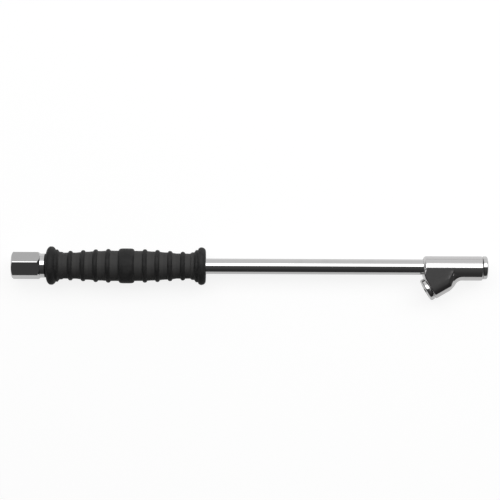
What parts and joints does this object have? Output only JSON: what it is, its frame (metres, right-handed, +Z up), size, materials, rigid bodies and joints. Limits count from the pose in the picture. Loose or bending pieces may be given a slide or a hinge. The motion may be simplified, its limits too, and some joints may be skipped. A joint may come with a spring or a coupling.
{
  "type": "tyre inflator lance",
  "caption": "Chromed air tube with a ribbed rubber grip, a hexagonal hose inlet, and a head that holds a straight tyre chuck and a back-angled one.",
  "frame": {"origin": "on the surface the lance lies on, under the middle of its outline seen from above; the larger grip flange touches z = 0", "axes": "+X along the air tube, from the hose inlet to the straight chuck; the angled chuck reaches out to -Y and opens back towards -X; +Z up, square to the plane of the chucks"},
  "size_m": [0.3674, 0.0404, 0.0297],
  "materials": {
    "chrome": "bright chrome plate over brass or steel",
    "grip_rubber": "satin moulded black rubber",
    "rubber": "matt black sealing rubber",
    "brass": "turned brass",
    "spring_steel": "drawn stainless spring wire"
  },
  "bodies": {
    "lance": {"inlet_fitting": "chrome", "inlet_washer": "rubber", "air_tube": "chrome", "rear_tube_seal": "rubber", "front_tube_seal": "rubber", "rubber_grip": "grip_rubber", "chuck_head": "chrome", "straight_cap": "chrome", "straight_mouth_seal": "rubber", "straight_valve_seat": "brass", "straight_seat_ring": "rubber", "straight_return_spring": "spring_steel", "angled_cap": "chrome", "angled_mouth_seal": "rubber", "angled_valve_seat": "brass", "angled_seat_ring": "rubber", "angled_return_spring": "spring_steel"},
    "straight_plunger_body": {"straight_plunger": "brass", "straight_poppet_seal": "rubber"},
    "angled_plunger_body": {"angled_plunger": "brass", "angled_poppet_seal": "rubber"}
  },
  "joints": [
    {"name": "straight_plunger_slide", "type": "slide", "parent": "lance", "child": "straight_plunger_body", "axis": [-1, 0, 0], "range_m": [0, 0.002], "stiffness_N_per_m": 1500, "deforming": ["straight_return_spring"]},
    {"name": "angled_plunger_slide", "type": "slide", "parent": "lance", "child": "angled_plunger_body", "axis": [0.866, 0.5, 0], "range_m": [0, 0.002], "stiffness_N_per_m": 1500, "deforming": ["angled_return_spring"]}
  ]
}
